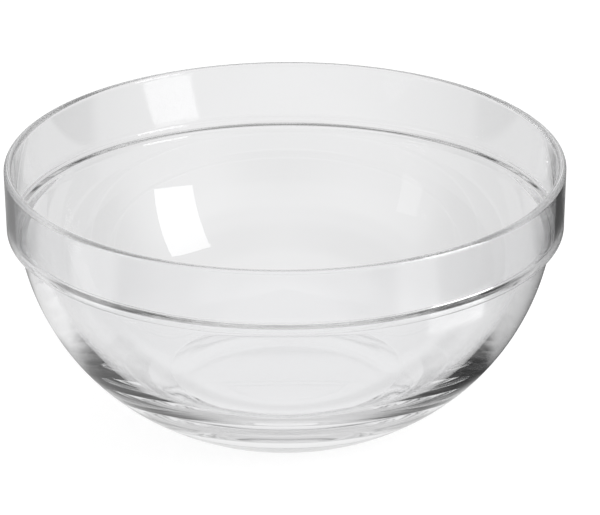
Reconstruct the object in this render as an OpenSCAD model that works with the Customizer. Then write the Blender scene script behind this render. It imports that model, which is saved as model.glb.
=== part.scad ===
// Stackable prep bowl of clear pressed glass, one piece that stands on its foot at z = 0

/* [Rim and collar] */
// Outside diameter at the rim
rim_d = 200; // [170:1:240]
// Height of the bowl
bowl_h = 92.5; // [80:0.5:120]
// Height of the collar, from the shoulder under it to the rim
collar_h = 24.7; // [16:0.1:30]
// How much narrower the collar's radius is at the shoulder than at the rim
collar_taper = 0.85; // [0:0.05:2]
// Thickness of the collar's wall
collar_wall = 3.1; // [2.4:0.1:4]
// Width of the flat land that is left on top of the rounded rim
rim_land = 0.1; // [0.05:0.05:0.6]

/* [Stacking step] */
// Width of the step outside, under the shoulder
step_w = 3.9; // [3:0.1:6]
// Radius of the shoulder's lower edge
shoulder_round = 1.6; // [0.5:0.1:2]
// Radius of the hollow corner between the step and the body
step_round = 1.2; // [0.4:0.1:1.8]
// Depth of the ledge inside, below the rim
ledge_depth = 20.9; // [12:0.1:22]
// Height of the sloping ledge
ledge_h = 2.5; // [1.5:0.1:4]
// Radius of the hollow corner above the ledge
ledge_top_round = 2; // [0.5:0.1:3]
// Radius of the edge below the ledge
ledge_low_round = 2; // [0.5:0.1:3]

/* [Body] */
// Radius of the body's outside curve, seen in section
body_arc = 87.4; // [75:0.1:110]
// Radius of the body's inside curve, seen in section
hollow_arc = 85; // [78:0.1:105]
// Thickness of the body's wall below the ledge
upper_wall = 3.1; // [2.4:0.1:4]
// Thickness of the body's wall beside the foot
lower_wall = 7; // [5:0.1:9]

/* [Foot and base] */
// Diameter of the foot
foot_d = 90.2; // [80:0.1:110]
// Radius of the foot's edge
foot_round = 2.5; // [1:0.1:4]
// Thickness of the base above the foot
base_t = 9; // [7:0.1:11]
// Diameter of the flat middle of the floor inside
floor_d = 56.6; // [40:0.1:60]
// Diameter of the shallow dome under the base
dome_d = 80; // [50:0.5:84]
// Height of the shallow dome under the base
dome_h = 0.8; // [0.3:0.1:2]

/* [Hidden] */
$fn = 360;
// Sides of the wide circle that the dome is cut with
dome_sides = 3600;
// How far the hollow runs on above the rim, and the dome below the foot
overrun = 1;
// How far a corner's rounding reaches, as a share of its radius, so that it runs on past the corner's sides
reach_share = 1.2;
// How far a rounding's circle stands out past the sides that it touches, so that it crosses them cleanly
skim = 0.002;
glass_tint = [0.88, 0.94, 0.93, 0.35];

// Direction from the origin to v
function unit(v) = v / norm(v);
// Point nearest to c on the line through a along u
function nearest(c, a, u) = a + u * ((c - a) * u);
// Centre of the circle of radius r through p and q, on the left of the way from p to q
function arc_centre(p, q, r) =
    let (half = (q - p) / 2, u = unit(half))
    p + half + [-u.y, u.x] * sqrt(r * r - half * half);
// Centre of the circle of radius r that touches both sides of the corner p, which lead to a and b
function corner_centre(p, a, b, r) =
    let (u = unit(a - p), middle = unit(u + unit(b - p)))
    p + middle * r / sqrt(1 - pow(u * middle, 2));
// Point on the line from q along u that lies at the distance reach from o, the first or the last of the two
function at_reach(q, u, o, reach, last) =
    let (w = q - o, b = w * u, root = sqrt(b * b - w * w + reach * reach))
    q + u * (last ? root - b : -root - b);

rim_r = rim_d / 2;
shoulder_z = bowl_h - collar_h;
rim_outer = [rim_r, bowl_h];
rim_inner = [rim_r - collar_wall, bowl_h];
rim_round = (collar_wall - rim_land) / 2;
shoulder = [rim_r - collar_taper, shoulder_z];
step = [shoulder.x - step_w, shoulder_z];
foot = [foot_d / 2, 0];
ledge_top = rim_inner - [collar_taper * ledge_depth / collar_h, ledge_depth];
ledge_low = [step.x - upper_wall, ledge_top.y - ledge_h];

// Outside curve of the body, from the foot up to the step
body_centre = arc_centre(foot, step, body_arc);
// Centre of the hollow corner between the step and that curve
step_centre = at_reach([0, shoulder_z - step_round], [1, 0], body_centre, body_arc + step_round, true);
// Where the hollow corner's rounding meets that curve
step_end = body_centre + unit(step_centre - body_centre) * body_arc;
// Inside curve of the body, from beside the foot up to the ledge
hollow_low = foot + unit(body_centre - foot) * lower_wall;
hollow_centre = arc_centre(hollow_low, ledge_low, hollow_arc);

// Curve that leads from the flat floor into the inside curve and touches both
floor_edge = [floor_d / 2, base_t];
floor_drop = hollow_centre - floor_edge;
floor_round = (hollow_arc * hollow_arc - floor_drop * floor_drop) / (2 * (hollow_arc - floor_drop.y));
floor_centre = floor_edge + [0, floor_round];
floor_end = hollow_centre + unit(floor_centre - hollow_centre) * hollow_arc;

// What lies between a corner's tip and the circle that rounds it and touches it at side_a and side_b
module rounding(tip, side_a, centre, side_b, r) {
    difference() {
        polygon([for (p = [tip, side_a, centre, side_b]) centre + (p - centre) * reach_share]);
        translate(centre) circle(r = r + skim);
    }
}

// The same for a corner p of two straight sides, which lead to a and b
module straight_rounding(p, a, b, r) {
    c = corner_centre(p, a, b, r);
    rounding(p, nearest(c, p, unit(a - p)), c, nearest(c, p, unit(b - p)), r);
}

// Edge between the ledge and the body's inside curve
module ledge_rounding() {
    r = ledge_low_round;
    u = unit(ledge_low - ledge_top);
    into_glass = [-u.y, u.x];
    c = at_reach(ledge_top + into_glass * r, u, hollow_centre, hollow_arc + r, false);
    side_b = hollow_centre + unit(c - hollow_centre) * hollow_arc;
    rounding(ledge_low, nearest(c, ledge_top, u), c, side_b, r);
}

// Edge of the foot, whose tip lies where the touching lines meet
module foot_rounding() {
    c = at_reach([0, foot_round], [1, 0], body_centre, body_arc - foot_round, true);
    out = unit(c - body_centre);
    middle = unit(out + [0, -1]);
    rounding(c + middle * foot_round / (out * middle), [c.x, 0], c, c + out * foot_round, foot_round);
}

// Outline of the outside, as if the bowl were solid: body, collar and the hollow corner between them
module outside() {
    difference() {
        union() {
            intersection() {
                translate(body_centre) circle(r = body_arc);
                square([rim_r, shoulder_z]);
            }
            polygon([[0, shoulder_z], shoulder, rim_outer, [0, bowl_h]]);
            translate([0, step_end.y]) square([step_centre.x, shoulder_z + step_round - step_end.y]);
        }
        translate(step_centre) circle(r = step_round + skim);
    }
}

// Outline of the hollow inside: collar and ledge, body, then floor
module hollow() {
    difference() {
        polygon([
            [0, ledge_low.y], ledge_low, ledge_top,
            rim_inner, rim_inner + [0, overrun], [0, bowl_h + overrun],
        ]);
        straight_rounding(ledge_top, rim_inner, ledge_low, ledge_top_round);
    }
    intersection() {
        translate(hollow_centre) circle(r = hollow_arc);
        translate([0, base_t]) square([rim_r, ledge_low.y - base_t]);
        union() {
            square([floor_edge.x, ledge_low.y]);
            translate([0, floor_end.y]) square([rim_r, ledge_low.y - floor_end.y]);
            translate(floor_centre) circle(r = floor_round + skim);
        }
    }
}

// Outline of the shallow dome under the base, which leaves the bowl standing on a ring
module dome() {
    dome_arc = (pow(dome_d / 2, 2) + dome_h * dome_h) / (2 * dome_h);
    intersection() {
        translate([0, dome_h - dome_arc]) circle(r = dome_arc, $fn = dome_sides);
        translate([0, -overrun]) square([dome_d, dome_h + overrun]);
    }
}

// The whole bowl, turned from its section
module bowl() {
    color(glass_tint) rotate_extrude() difference() {
        outside();
        hollow();
        dome();
        ledge_rounding();
        foot_rounding();
        straight_rounding(shoulder, rim_outer, step, shoulder_round);
        straight_rounding(rim_outer, rim_inner, shoulder, rim_round);
        straight_rounding(rim_inner, rim_outer, ledge_top, rim_round);
    }
}

bowl();
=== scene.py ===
# %% [markdown]
# # A stackable prep bowl in clear pressed glass
# The bowl is one piece of glass, pressed in a mould and round about its own axis. The frame brings the
# measured solid. This lesson draws the same section again with far more points, spins it into a fine mesh,
# gives it a glass finish, and lights it the way glass is photographed: light behind, dark beside.

# %% Load the frame
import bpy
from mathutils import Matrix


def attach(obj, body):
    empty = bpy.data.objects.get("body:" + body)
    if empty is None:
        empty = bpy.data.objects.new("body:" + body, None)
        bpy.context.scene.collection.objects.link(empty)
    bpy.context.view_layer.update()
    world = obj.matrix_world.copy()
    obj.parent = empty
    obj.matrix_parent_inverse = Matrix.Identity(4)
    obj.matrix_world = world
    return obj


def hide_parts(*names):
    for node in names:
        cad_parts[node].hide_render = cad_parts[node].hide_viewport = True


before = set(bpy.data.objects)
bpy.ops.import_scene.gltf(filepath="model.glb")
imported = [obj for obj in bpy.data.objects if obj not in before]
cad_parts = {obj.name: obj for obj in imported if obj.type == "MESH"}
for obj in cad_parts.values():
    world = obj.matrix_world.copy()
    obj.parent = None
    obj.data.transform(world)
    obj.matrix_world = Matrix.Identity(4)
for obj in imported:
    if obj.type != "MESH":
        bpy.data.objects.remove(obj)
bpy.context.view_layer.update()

# %% Other modules
import math

import bmesh
import bpy
from mathutils import Quaternion, Vector

# %% [markdown]
# ## Sizes
# Every size of the section is written in millimetres, as on a maker's drawing, and turned into metres
# only where the mesh is made. They are the sizes of the solid in the frame, so the fine mesh lies on it.

# %% Sizes of the section, in millimetres
rim_d = 200.0
bowl_h = 92.5
collar_h = 24.7
collar_taper = 0.85
collar_wall = 3.1
rim_land = 0.1
step_w = 3.9
shoulder_round = 1.6
step_round = 1.2
ledge_depth = 20.9
ledge_h = 2.5
ledge_top_round = 2.0
ledge_low_round = 2.0
body_arc = 87.4
hollow_arc = 85.0
upper_wall = 3.1
lower_wall = 7.0
foot_d = 90.2
foot_round = 2.5
base_t = 9.0
floor_d = 56.6
dome_d = 80.0
dome_h = 0.8

# %% [markdown]
# ## Small geometry helpers
# A pressed section is made of straight runs and arcs that touch. A bevel could round its corners, but not
# where a small arc has to touch a large one. These four helpers find the places where arcs and lines touch.

# %% Helpers for touching arcs and lines
def arc_centre(p, q, r):
    """Centre of the circle of radius r through p and q, on the left of the way from p to q"""
    half = (q - p) / 2
    left = Vector((-half.y, half.x)).normalized()
    return p + half + left * math.sqrt(r * r - half.length_squared)


def nearest(c, a, u):
    """Point nearest to c on the line through a along u"""
    return a + u * (c - a).dot(u)


def at_reach(q, u, o, reach, last):
    """Point on the line from q along u at the distance reach from o, the last or the first of the two"""
    w = q - o
    b = w.dot(u)
    root = math.sqrt(b * b - w.length_squared + reach * reach)
    return q + u * (root - b if last else -root - b)


def straight_corner(p, before, after, r):
    """Touching point, centre and touching point of the rounding of corner p between straight sides"""
    u, v = (before - p).normalized(), (after - p).normalized()
    middle = (u + v).normalized()
    c = p + middle * r / math.sqrt(1 - u.dot(middle) ** 2)
    return nearest(c, p, u), c, nearest(c, p, v)

# %% [markdown]
# ## The corners of the section
# The sharp corners come first, then the two big curves of the body. The outside curve runs from the foot
# to the step under the collar, and the inside curve from beside the foot to the ledge.

# %% Corners and the two body curves
rim_r = rim_d / 2
rim_round = (collar_wall - rim_land) / 2
shoulder_z = bowl_h - collar_h
rim_outer = Vector((rim_r, bowl_h))
rim_inner = Vector((rim_r - collar_wall, bowl_h))
shoulder = Vector((rim_r - collar_taper, shoulder_z))
step = shoulder - Vector((step_w, 0))
foot = Vector((foot_d / 2, 0))
ledge_top = rim_inner - Vector((collar_taper * ledge_depth / collar_h, ledge_depth))
ledge_low = Vector((step.x - upper_wall, ledge_top.y - ledge_h))

body_centre = arc_centre(foot, step, body_arc)
hollow_low = foot + (body_centre - foot).normalized() * lower_wall
hollow_centre = arc_centre(hollow_low, ledge_low, hollow_arc)
print("Body curve's centre", body_centre, "and the hollow's", hollow_centre)

# %% [markdown]
# ## Where the roundings start and end
# Each rounding has a centre and two touching points. With those known, the profile is a walk from point
# to point, and no corner needs a bevel afterwards.

# %% Roundings of the foot, the step and the ledge
outwards = Vector((1, 0))
dome_arc = ((dome_d / 2) ** 2 + dome_h ** 2) / (2 * dome_h)
dome_centre = Vector((0, dome_h - dome_arc))
dome_edge = Vector((dome_d / 2, 0))

foot_centre = at_reach(Vector((0, foot_round)), outwards, body_centre, body_arc - foot_round, True)
foot_flat = Vector((foot_centre.x, 0))
foot_end = foot_centre + (foot_centre - body_centre).normalized() * foot_round

step_start = Vector((0, shoulder_z - step_round))
step_centre = at_reach(step_start, outwards, body_centre, body_arc + step_round, True)
step_low = body_centre + (step_centre - body_centre).normalized() * body_arc
step_top = Vector((step_centre.x, shoulder_z))

slope = (ledge_low - ledge_top).normalized()
into_glass = Vector((-slope.y, slope.x))
ledge_centre = at_reach(ledge_top + into_glass * ledge_low_round, slope, hollow_centre,
                        hollow_arc + ledge_low_round, False)
ledge_side = nearest(ledge_centre, ledge_top, slope)
ledge_end = hollow_centre + (ledge_centre - hollow_centre).normalized() * hollow_arc
print("The foot stands on a ring from", dome_edge.x, "to", round(foot_flat.x, 2), "mm")

# %% Roundings of the floor, the shoulder, the rim and the corner above the ledge
floor_edge = Vector((floor_d / 2, base_t))
floor_drop = hollow_centre - floor_edge
floor_round = (hollow_arc ** 2 - floor_drop.length_squared) / (2 * (hollow_arc - floor_drop.y))
floor_centre = floor_edge + Vector((0, floor_round))
floor_end = hollow_centre + (floor_centre - hollow_centre).normalized() * hollow_arc
shoulder_corner = straight_corner(shoulder, step, rim_outer, shoulder_round)
outer_rim_corner = straight_corner(rim_outer, shoulder, rim_inner, rim_round)
inner_rim_corner = straight_corner(rim_inner, rim_outer, ledge_top, rim_round)
ledge_corner = straight_corner(ledge_top, rim_inner, ledge_low, ledge_top_round)
print("The floor's curve has a radius of", round(floor_round, 2), "mm")

# %% [markdown]
# ## Walking the profile
# The profile is drawn by one travelling vertex, the tip. Along an arc, bmesh's spin operator turns the tip
# about the arc's centre and leaves a chain of edges behind it. Along a straight run, the tip is extruded and
# moved. Each straight run gets a holding point near both ends, so that the smooth shading of the small
# roundings stays at the corners and the flat walls stay flat: glass shows the smallest error in this.

# %% Drawing helpers
MM = 0.001
hold = 0.2
hold_parts = 3


def in_section(v):
    """Place in metres of a point of the section"""
    return Vector((v.x * MM, 0, v.y * MM))


def walk(bm, tip, goal):
    """Straight run of the tip to a goal, with a holding point near each end"""
    start = Vector((tip.co.x / MM, tip.co.z / MM))
    run = goal - start
    near = run.normalized() * min(hold, run.length / hold_parts)
    for stop in (start + near, goal - near, goal):
        tip = bmesh.ops.extrude_vert_indiv(bm, verts=[tip])["verts"][0]
        bmesh.ops.translate(bm, verts=[tip], vec=in_section(stop) - tip.co)
    return tip


def turn(bm, tip, centre, goal, steps):
    """Arc of the tip about a centre, as far round as the goal lies"""
    start = Vector((tip.co.x / MM, tip.co.z / MM)) - centre
    angle = -start.angle_signed(goal - centre)
    made = bmesh.ops.spin(bm, geom=[tip], cent=in_section(centre), axis=(0, -1, 0), angle=angle, steps=steps)
    return next(v for v in made["geom_last"] if isinstance(v, bmesh.types.BMVert))

# %% [markdown]
# The walk starts on the axis under the base, goes up the outside to the rim and comes back down the inside
# to the axis. The big curves get the most steps, and each small rounding still gets eight or more.

# %% Walk round the whole section
dome_steps, body_steps, hollow_steps, floor_steps = 16, 56, 40, 20
corner_steps, shoulder_steps, rim_steps = 8, 10, 12
bowl_bm = bmesh.new()
tip = bowl_bm.verts.new(in_section(Vector((0, dome_h))))
tip = turn(bowl_bm, tip, dome_centre, dome_edge, dome_steps)
tip = walk(bowl_bm, tip, foot_flat)
tip = turn(bowl_bm, tip, foot_centre, foot_end, corner_steps)
tip = turn(bowl_bm, tip, body_centre, step_low, body_steps)
tip = turn(bowl_bm, tip, step_centre, step_top, corner_steps)
tip = walk(bowl_bm, tip, shoulder_corner[0])
tip = turn(bowl_bm, tip, shoulder_corner[1], shoulder_corner[2], shoulder_steps)
tip = walk(bowl_bm, tip, outer_rim_corner[0])
tip = turn(bowl_bm, tip, outer_rim_corner[1], outer_rim_corner[2], rim_steps)
tip = turn(bowl_bm, tip, inner_rim_corner[1], inner_rim_corner[2], rim_steps)
tip = walk(bowl_bm, tip, ledge_corner[0])
tip = turn(bowl_bm, tip, ledge_corner[1], ledge_corner[2], corner_steps)
tip = walk(bowl_bm, tip, ledge_side)
tip = turn(bowl_bm, tip, ledge_centre, ledge_end, corner_steps)
tip = turn(bowl_bm, tip, hollow_centre, floor_end, hollow_steps)
tip = turn(bowl_bm, tip, floor_centre, floor_edge, floor_steps)
tip = walk(bowl_bm, tip, Vector((0, base_t)))
print("The profile has", len(bowl_bm.verts), "points")

# %% [markdown]
# ## Spinning the profile
# One full spin about the bowl's axis closes the surface. The first and last columns are merged by the
# operator, the two poles on the axis are merged after it, and the normals are then pointed outwards.

# %% Spin, close and store the mesh
columns = 360
merge_distance = 0.001 * MM
cm3_in_m3 = 1e6
bmesh.ops.spin(bowl_bm, geom=bowl_bm.verts[:] + bowl_bm.edges[:], cent=(0, 0, 0), axis=(0, 0, 1),
               angle=math.tau, steps=columns, use_merge=True)
bmesh.ops.remove_doubles(bowl_bm, verts=bowl_bm.verts[:], dist=merge_distance)
bmesh.ops.recalc_face_normals(bowl_bm, faces=bowl_bm.faces[:])
bowl_volume = bowl_bm.calc_volume(signed=True)
open_edges = [e for e in bowl_bm.edges if not e.is_manifold]
bowl_mesh = bpy.data.meshes.new("glass_bowl")
bowl_bm.to_mesh(bowl_mesh)
bowl_bm.free()
bowl_mesh.shade_smooth()
glass_bowl = bpy.data.objects.new("glass_bowl", bowl_mesh)
bpy.context.scene.collection.objects.link(glass_bowl)
print("Glass volume", round(bowl_volume * cm3_in_m3, 1), "cm3, open edges", len(open_edges),
      "triangles", sum(len(p.vertices) - 2 for p in bowl_mesh.polygons))

# %% [markdown]
# ## The glass
# Pressed soda-lime glass is clear and smooth, with an index of refraction of 1.51. The Principled shader
# with full transmission makes it. Its colour is a very pale blue-grey, because light takes on a little of
# it at each of the many surfaces that it goes through.

# %% Clear glass
glass_colour = (0.968, 0.969, 0.975, 1)
glass_ior = 1.51
clear_glass = bpy.data.materials.new("clear_glass")
clear_glass.use_nodes = True
glass_nodes = clear_glass.node_tree.nodes
glass_links = clear_glass.node_tree.links
skin = glass_nodes["Principled BSDF"]
skin.inputs["Base Color"].default_value = glass_colour
skin.inputs["IOR"].default_value = glass_ior
skin.inputs["Transmission Weight"].default_value = 1.0
glass_place = glass_nodes.new("ShaderNodeTexCoord")
bowl_mesh.materials.append(clear_glass)

# %% [markdown]
# A used bowl isn't equally clear all over. Noise on Object coordinates makes some places a trace duller
# than others, far weaker than the eye would look for, and leaves the rest smooth.

# %% Duller places on the skin
breath_scale, breath_detail = 22, 3
dull_start, dull_end = 0.45, 0.8
dull_roughness = 0.02
breath = glass_nodes.new("ShaderNodeTexNoise")
breath.inputs["Scale"].default_value = breath_scale
breath.inputs["Detail"].default_value = breath_detail
dull = glass_nodes.new("ShaderNodeMapRange")
dull.inputs["From Min"].default_value = dull_start
dull.inputs["From Max"].default_value = dull_end
dull.inputs["To Min"].default_value = 0.0
dull.inputs["To Max"].default_value = dull_roughness
glass_links.new(glass_place.outputs["Object"], breath.inputs["Vector"])
glass_links.new(breath.outputs["Fac"], dull.inputs["Value"])
glass_links.new(dull.outputs["Result"], skin.inputs["Roughness"])

# %% [markdown]
# The mould leaves a very slight ripple in pressed glass, which makes mirrored edges waver. It is far too
# shallow to model, so a weak bump gives it.

# %% Ripple from the mould
ripple_scale, ripple_detail = 35, 1
ripple_strength, ripple_depth = 0.02, 0.001
ripple = glass_nodes.new("ShaderNodeTexNoise")
ripple.inputs["Scale"].default_value = ripple_scale
ripple.inputs["Detail"].default_value = ripple_detail
mould_skin = glass_nodes.new("ShaderNodeBump")
mould_skin.inputs["Strength"].default_value = ripple_strength
mould_skin.inputs["Distance"].default_value = ripple_depth
glass_links.new(glass_place.outputs["Object"], ripple.inputs["Vector"])
glass_links.new(ripple.outputs["Fac"], mould_skin.inputs["Height"])
glass_links.new(mould_skin.outputs["Normal"], skin.inputs["Normal"])
print("The glass has", len(glass_nodes), "nodes")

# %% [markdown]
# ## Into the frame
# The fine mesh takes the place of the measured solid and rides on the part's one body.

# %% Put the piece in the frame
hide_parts("bowl")
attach(glass_bowl, "root")

# %% [markdown]
# ## The floor
# The table is a wide pale disc, a hair's breadth below the foot so that the two surfaces never coincide.

# %% Floor
floor_radius = 3.0
floor_gap = 0.0002
floor_sides = 96
floor_bm = bmesh.new()
bmesh.ops.create_circle(floor_bm, cap_ends=True, radius=floor_radius, segments=floor_sides)
bmesh.ops.translate(floor_bm, verts=floor_bm.verts[:], vec=(0, 0, -floor_gap))
floor_mesh = bpy.data.meshes.new("table")
floor_bm.to_mesh(floor_mesh)
floor_bm.free()
table = bpy.data.objects.new("table", floor_mesh)
bpy.context.scene.collection.objects.link(table)

# %% [markdown]
# Its material adds up two parts: a coat, which takes light and shadow, and a glow, whose tone can depend on
# the place and on who looks at it. For rays off and through the glass the glow carries painted light and
# shade. What goes into both is worked out in the cells that follow.

# %% Floor material
pale_table = bpy.data.materials.new("pale_table")
pale_table.use_nodes = True
table_tree = pale_table.node_tree
table_nodes = table_tree.nodes
table_links = table_tree.links
table_nodes.clear()
table_out = table_nodes.new("ShaderNodeOutputMaterial")
table_sum = table_nodes.new("ShaderNodeAddShader")
table_glow = table_nodes.new("ShaderNodeEmission")
table_coat = table_nodes.new("ShaderNodeBsdfDiffuse")
table_links.new(table_coat.outputs["BSDF"], table_sum.inputs[0])
table_links.new(table_glow.outputs["Emission"], table_sum.inputs[1])
table_links.new(table_sum.outputs["Shader"], table_out.inputs["Surface"])
floor_mesh.materials.append(pale_table)

# %% [markdown]
# ## Tones by place
# Glass has hardly a look of its own: it shows what stands and lies around it. So the table and the room get
# their tones from a few helpers. One turns a direction into a share of the full circle, one is a ring of
# tones by bearing, one mixes two tones, and one is a soft step between them. Bearing 0 is straight behind
# the bowl, 90 is on the right and 180 behind the camera.

# %% Tones by bearing
half_turn_deg, full_turn_deg = 180, 360


def circle_share(tree, direction):
    """Bearing of a direction, as a share of the circle, and the node with its axes"""
    axes = tree.nodes.new("ShaderNodeSeparateXYZ")
    angle = tree.nodes.new("ShaderNodeMath")
    angle.operation = "ARCTAN2"
    share = tree.nodes.new("ShaderNodeMapRange")
    share.inputs["From Min"].default_value = -math.pi
    share.inputs["From Max"].default_value = math.pi
    tree.links.new(direction, axes.inputs["Vector"])
    tree.links.new(axes.outputs["X"], angle.inputs[0])
    tree.links.new(axes.outputs["Y"], angle.inputs[1])
    tree.links.new(angle.outputs["Value"], share.inputs["Value"])
    return share.outputs["Result"], axes


def ring(tree, share, stops):
    """Tones by bearing, as a colour ramp that holds each tone as a share of the brightest one"""
    ramp = tree.nodes.new("ShaderNodeValToRGB")
    brightest = max(tone for degrees, tone in stops)
    for degrees, tone in stops[1:-1]:
        ramp.color_ramp.elements.new((degrees + half_turn_deg) / full_turn_deg)
    for stop, (degrees, tone) in zip(ramp.color_ramp.elements, stops):
        stop.position = (degrees + half_turn_deg) / full_turn_deg
        stop.color = (tone / brightest, tone / brightest, tone / brightest, 1)
    full = tree.nodes.new("ShaderNodeMath")
    full.operation = "MULTIPLY"
    full.inputs[1].default_value = brightest
    tree.links.new(share, ramp.inputs["Fac"])
    tree.links.new(ramp.outputs["Color"], full.inputs[0])
    return full.outputs["Value"]

# %% Mixing and stepping
def tone_mix(tree, share, tone_a, tone_b):
    """Mix of two tones, each a number or a socket"""
    mixed = tree.nodes.new("ShaderNodeMix")
    tree.links.new(share, mixed.inputs["Factor"])
    for socket, tone in (("A", tone_a), ("B", tone_b)):
        if isinstance(tone, float):
            mixed.inputs[socket].default_value = tone
        else:
            tree.links.new(tone, mixed.inputs[socket])
    return mixed.outputs["Result"]


def soft_step(tree, distance, span, tone_a, tone_b):
    """Soft change from one tone to the next while a distance goes through a span"""
    rise = tree.nodes.new("ShaderNodeMapRange")
    rise.interpolation_type = "SMOOTHSTEP"
    rise.inputs["From Min"].default_value, rise.inputs["From Max"].default_value = span
    tree.links.new(distance, rise.inputs["Value"])
    return tone_mix(tree, rise.outputs["Result"], tone_a, tone_b)

# %% [markdown]
# ## The table as the glass shows it
# Places on the table are told by their distance from the bowl's axis, by how far they lie to the right, by
# how far they lie behind, and by their bearing. All are in metres and come from Object coordinates.

# %% Distances on the table
table_place = table_nodes.new("ShaderNodeTexCoord")
from_axis = table_nodes.new("ShaderNodeVectorMath")
from_axis.operation = "LENGTH"
table_links.new(table_place.outputs["Object"], from_axis.inputs[0])
table_share, table_axes = circle_share(table_tree, table_place.outputs["Object"])
axis_distance = from_axis.outputs["Value"]
right_distance = table_axes.outputs["X"]
back_distance = table_axes.outputs["Y"]

# %% [markdown]
# Through the glass the table's glow is painted with light and shade. It is lightest under the base, a
# painted pool of the light that the bowl gathers, and painted shade makes it a shade greyer around it and
# greyer still to the left and the right. That gives the sides of the bowl their grey.

# %% The table seen through the glass
table_under_base, table_around = 0.9, 0.885
table_at_right, table_at_left = 0.77, 0.78
base_edge = (0.085, 0.115)
right_shade, left_shade = (0.02, 0.1), (-0.03, -0.1)
table_beside = soft_step(table_tree, right_distance, right_shade, table_around, table_at_right)
table_beside = soft_step(table_tree, right_distance, left_shade, table_beside, table_at_left)
through_tone = soft_step(table_tree, axis_distance, base_edge, table_under_base, table_beside)

# %% [markdown]
# Painted shade stands in for black cards beside the bowl: dark patches in the table's glow, left and right
# and a little behind its middle. Only rays through the glass see them, so the open table stays white. They
# draw the dark ends of the collar.

# %% Painted shade for black cards beside the bowl
right_card_shade, left_card_shade = 0.06, 0.25
right_card_edge, left_card_edge = (0.116, 0.128), (-0.116, -0.135)
cards_front_edge = (0.05, 0.08)
cards_outer_edge = (0.27, 0.29)
painted_card_shade = soft_step(table_tree, right_distance, right_card_edge, through_tone, right_card_shade)
painted_card_shade = soft_step(table_tree, right_distance, left_card_edge, painted_card_shade, left_card_shade)
painted_card_shade = soft_step(table_tree, back_distance, cards_front_edge, through_tone, painted_card_shade)
through_tone = soft_step(table_tree, axis_distance, cards_outer_edge, painted_card_shade, through_tone)

# %% [markdown]
# A bright patch, brighter than white, is painted into the table's glow at the right front: painted light
# that stands in for a lit white card. The inside of the collar mirrors it as the pale upright band at the
# upper left, a painted reflection. Cycles follows that ray from the camera: it is mirrored first and then
# leaves through the wall at the right front. It meets the patch as a ray through glass, so the patch belongs
# to these tones.

# %% Painted light for a white card at the right front
painted_card_glow = 2.5
card_inner_edge, card_outer_edge = (0.115, 0.125), (0.228, 0.238)
card_sector = ring(table_tree, table_share, [
    (-180, 0.0), (101, 0.0), (103, 1.0), (128, 1.0), (130, 0.0), (180, 0.0)])
card_share = soft_step(table_tree, axis_distance, card_inner_edge, 0.0, card_sector)
card_share = soft_step(table_tree, axis_distance, card_outer_edge, card_share, 0.0)
through_tone = tone_mix(table_tree, card_share, through_tone, painted_card_glow)

# %% [markdown]
# What the glass mirrors of the table is painted as a set of rings of light and shade: light at the foot,
# painted shadow under the flanks, and outside them the open table, light towards the camera and in painted
# shade behind the bowl. The outermost ring also has two bright sectors of painted light, brighter than
# white, at the left front and the right front, which the glass shows as painted reflections.

# %% The table mirrored by the glass
mirror_at_foot = 0.86
foot_edge, flank_edge, near_edge = (0.062, 0.08), (0.095, 0.11), (0.2, 0.22)
shadow_under_flanks = ring(table_tree, table_share, [
    (-180, 0.8), (-140, 0.6), (-110, 0.35), (-90, 0.3), (-60, 0.35), (0, 0.3), (30, 0.1), (60, 0.03),
    (110, 0.03), (140, 0.5), (180, 0.8)])
near_table = ring(table_tree, table_share, [
    (-180, 0.8), (-100, 0.75), (-60, 0.7), (-50, 0.3), (-40, 0.2), (-20, 0.3), (20, 0.3), (40, 0.05),
    (85, 0.05), (100, 0.5), (115, 0.8), (180, 0.8)])
far_table = ring(table_tree, table_share, [
    (-180, 1.0), (-122, 0.8), (-117, 2.2), (-102, 2.2), (-95, 0.6), (-75, 0.3), (-55, 0.2), (-30, 0.2),
    (0, 0.3), (30, 0.08), (75, 0.08), (100, 0.3), (124, 0.75), (128, 2.0), (140, 2.0), (144, 0.8),
    (180, 1.0)])
mirror_tone = soft_step(table_tree, axis_distance, foot_edge, mirror_at_foot, shadow_under_flanks)
mirror_tone = soft_step(table_tree, axis_distance, flank_edge, mirror_tone, near_table)
mirror_tone = soft_step(table_tree, axis_distance, near_edge, mirror_tone, far_table)

# %% [markdown]
# Light Path tells who looks. The camera sees the open table as white: part of that white is plain diffuse
# colour, which takes the lamps' light and the bowl's soft shadow, and the rest is its own, as of a table lit
# from all round. Is Glossy Ray is also 1 for a ray that passed through the glass, so Is Transmission Ray is
# asked after it and has the last word.

# %% Who sees which table
open_table = 0.82
table_colour = 0.4
table_rays = table_nodes.new("ShaderNodeLightPath")
glow = tone_mix(table_tree, table_rays.outputs["Is Glossy Ray"], open_table, mirror_tone)
glow = tone_mix(table_tree, table_rays.outputs["Is Transmission Ray"], glow, through_tone)
coat = tone_mix(table_tree, table_rays.outputs["Is Camera Ray"], 0.0, table_colour)
table_links.new(glow, table_glow.inputs["Strength"])
table_links.new(coat, table_coat.inputs["Color"])
print("The table has", len(table_nodes), "nodes")

# %% [markdown]
# ## The room
# Photographers light clear glass from a bright field, a white backdrop behind it with dark cards on both
# sides, and the cards draw the dark lines along the edges. Real cards would work too, but each would have
# to be placed and hidden from the camera. So the world plays the room, as five rings of tones, one above
# the other, under a ceiling. The camera itself sees plain white.

# %% Directions in the room
room = bpy.data.worlds.new("studio")
bpy.context.scene.world = room
room.use_nodes = True
room_tree = room.node_tree
room_light = room_tree.nodes["Background"]
look = room_tree.nodes.new("ShaderNodeTexCoord")
room_share, room_axes = circle_share(room_tree, look.outputs["Generated"])
look_height = room_tree.nodes.new("ShaderNodeMath")
look_height.operation = "ARCSINE"
room_tree.links.new(room_axes.outputs["Z"], look_height.inputs[0])

# %% [markdown]
# From the bottom up come the far side of the table, its dark edge, and the foot, the middle and the top of
# the backdrop. Behind the bowl they are light, apart from the dark edge. Left and right of it they are dark,
# and towards the left front and the right front they grow light again, except at the top. At the sides the
# lower four are nearly alike, because the wall of a bowl guides light from many heights to one place.

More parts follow.
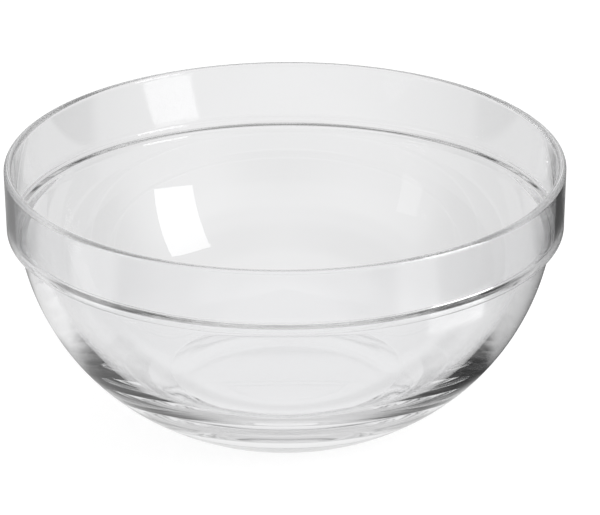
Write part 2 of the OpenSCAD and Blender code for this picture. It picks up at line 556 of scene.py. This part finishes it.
# %% The five rings
table_far_side = ring(room_tree, room_share, [
    (-180, 0.13), (-150, 0.4), (-125, 0.6), (-108, 0.5), (-96, 0.08), (-40, 0.1), (-25, 0.5), (25, 0.5),
    (40, 0.1), (93, 0.12), (98, 0.33), (104, 0.6), (112, 0.85), (145, 0.7), (165, 0.2), (180, 0.13)])
table_edge = ring(room_tree, room_share, [
    (-180, 0.13), (-150, 0.4), (-125, 0.6), (-108, 0.5), (-96, 0.08), (-40, 0.0), (-15, 0.1), (10, 0.05),
    (50, 0.02), (85, 0.05), (93, 0.12), (98, 0.33), (104, 0.6), (112, 0.85), (145, 0.7), (165, 0.2),
    (180, 0.13)])
backdrop_foot = ring(room_tree, room_share, [
    (-180, 0.2), (-150, 0.65), (-120, 0.75), (-106, 0.6), (-97, 0.1), (-90, 0.05), (-50, 0.02), (-38, 0.12),
    (-22, 0.62), (0, 0.72), (18, 0.62), (32, 0.18), (45, 0.02), (85, 0.05), (93, 0.12), (98, 0.33),
    (104, 0.6), (112, 0.88), (150, 0.85), (165, 0.4), (180, 0.2)])
backdrop_middle = ring(room_tree, room_share, [
    (-180, 0.78), (-130, 0.75), (-106, 0.6), (-97, 0.12), (-90, 0.08), (-55, 0.05), (-35, 0.4), (-18, 0.68),
    (15, 0.66), (32, 0.4), (50, 0.1), (85, 0.08), (93, 0.15), (98, 0.35), (104, 0.6), (112, 0.88),
    (130, 1.0), (150, 0.88), (180, 0.78)])
backdrop_top = ring(room_tree, room_share, [
    (-180, 0.33), (-155, 0.12), (-145, 0.0), (-106, 0.0), (-92, 0.2), (-55, 0.22), (-32, 0.5), (-15, 0.93),
    (12, 0.93), (32, 0.45), (60, 0.17), (90, 0.25), (115, 0.34), (150, 0.2), (180, 0.33)])

# %% [markdown]
# The ceiling is light, but dark behind the bowl. Some of the light in the corner under the collar comes
# from that dark part, which makes the line of the shoulder bolder. Each layer starts with a soft step
# between the two heights, in degrees, that are given with it.

# %% The ceiling, and one ring above the other
ceiling = ring(room_tree, room_share, [
    (-180, 0.88), (-60, 0.88), (-50, 0.25), (50, 0.25), (60, 0.88), (180, 0.88)])
layers = [
    (table_edge, (4, 7)), (backdrop_foot, (12, 18)), (backdrop_middle, (22, 28)), (backdrop_top, (33, 39)),
    (ceiling, (56, 66))]
room_tone = table_far_side
for upper_tone, heights_deg in layers:
    heights = [math.radians(degrees) for degrees in heights_deg]
    room_tone = soft_step(room_tree, look_height.outputs["Value"], heights, room_tone, upper_tone)
print("The room has", len(layers) + 1, "layers of tones")

# %% [markdown]
# Light Path chooses here too. Mirrored rays and rays that pass through the glass see the rings, the camera
# sees white, and the table is lit by a plain even light, so that no card throws a shadow on it.

# %% Who sees the rings
even_light = 0.6
white = 1.0
rays = room_tree.nodes.new("ShaderNodeLightPath")
room_view = tone_mix(room_tree, rays.outputs["Is Glossy Ray"], even_light, room_tone)
room_view = tone_mix(room_tree, rays.outputs["Is Transmission Ray"], room_view, room_tone)
room_view = tone_mix(room_tree, rays.outputs["Is Camera Ray"], room_view, white)
room_tree.links.new(room_view, room_light.inputs["Color"])

# %% [markdown]
# ## The lamps
# A large softbox stands at the right front. Its image is the white patch on the inside wall at the left, and
# a narrow softbox at the left front gives the faint upright band on the right. Rays through the glass don't
# see the lamps, which keeps stray images of them out of the walls.

# %% Softboxes
lamp_aim = Vector((0, 0, 0.06))


def softbox(name, bearing_deg, height_deg, distance, width, height, roll_deg, radiance):
    """Area lamp seen from the bowl in a given direction; radiance 1 is white"""
    lamp = bpy.data.lights.new(name, "AREA")
    lamp.shape = "RECTANGLE"
    lamp.size = width
    lamp.size_y = height
    lamp.energy = radiance * math.pi * width * height
    lamp_object = bpy.data.objects.new(name, lamp)
    bpy.context.scene.collection.objects.link(lamp_object)
    az, el = math.radians(bearing_deg), math.radians(height_deg)
    way = Vector((math.sin(az) * math.cos(el), math.cos(az) * math.cos(el), math.sin(el)))
    lamp_object.location = lamp_aim + way * distance
    facing = (-way).to_track_quat("-Z", "Y")
    lamp_object.rotation_euler = (facing @ Quaternion((0, 0, 1), math.radians(roll_deg))).to_euler()
    lamp_object.visible_transmission = False
    print(name, "has", round(lamp.energy, 2), "W")


softbox("key_softbox", bearing_deg=119.2, height_deg=33.5, distance=1.53, width=0.53, height=0.86,
        roll_deg=-17, radiance=4.0)
softbox("side_softbox", bearing_deg=-117, height_deg=15, distance=1.6, width=0.3, height=0.75,
        roll_deg=12, radiance=0.8)

# %% [markdown]
# ## The camera
# The photograph was taken from 22.6 degrees above the table with a long lens. The rim's radius is 0.03 of
# the distance, so the camera stands 3.33 m away. It looks at a point a little to the right of the bowl's
# axis and is rolled by 0.3 degrees, so that the bowl sits in the frame as it does in the photograph.

# %% Camera
rim_r_share = 0.03
rim_r_px = 280.4
picture_w_px = 600
sensor_mm = 36
camera_height_deg = 22.6
camera_roll_deg = -0.3
aim_right, aim_below_rim = 5.16, 36.2
view_end = 100
camera_distance = rim_r * MM / rim_r_share
target = Vector((aim_right * MM, 0, (bowl_h - aim_below_rim) * MM))
lift = math.radians(camera_height_deg)

lens = bpy.data.cameras.new("camera")
camera = bpy.data.objects.new("camera", lens)
bpy.context.scene.collection.objects.link(camera)
camera.location = target + camera_distance * Vector((0, -math.cos(lift), math.sin(lift)))
level_view = (target - camera.location).to_track_quat("-Z", "Y")
camera.rotation_euler = (level_view @ Quaternion((0, 0, 1), math.radians(camera_roll_deg))).to_euler()
lens.sensor_width = sensor_mm
lens.lens = rim_r_px / rim_r_share * sensor_mm / picture_w_px
lens.clip_end = view_end
bpy.context.scene.camera = camera
bpy.context.scene.view_settings.view_transform = "Standard"
print("Lens", round(lens.lens, 1), "mm at", round(camera_distance, 2), "m")

# %% [markdown]
# ## Deep light paths
# Inside thick glass a ray bounces many times before it comes out. With few bounces the renderer gives up and
# paints black, so the limits are raised to what glass needs.

# %% Bounces
glass_bounces = 64
bpy.context.scene.cycles.max_bounces = glass_bounces
bpy.context.scene.cycles.glossy_bounces = glass_bounces
bpy.context.scene.cycles.transmission_bounces = glass_bounces
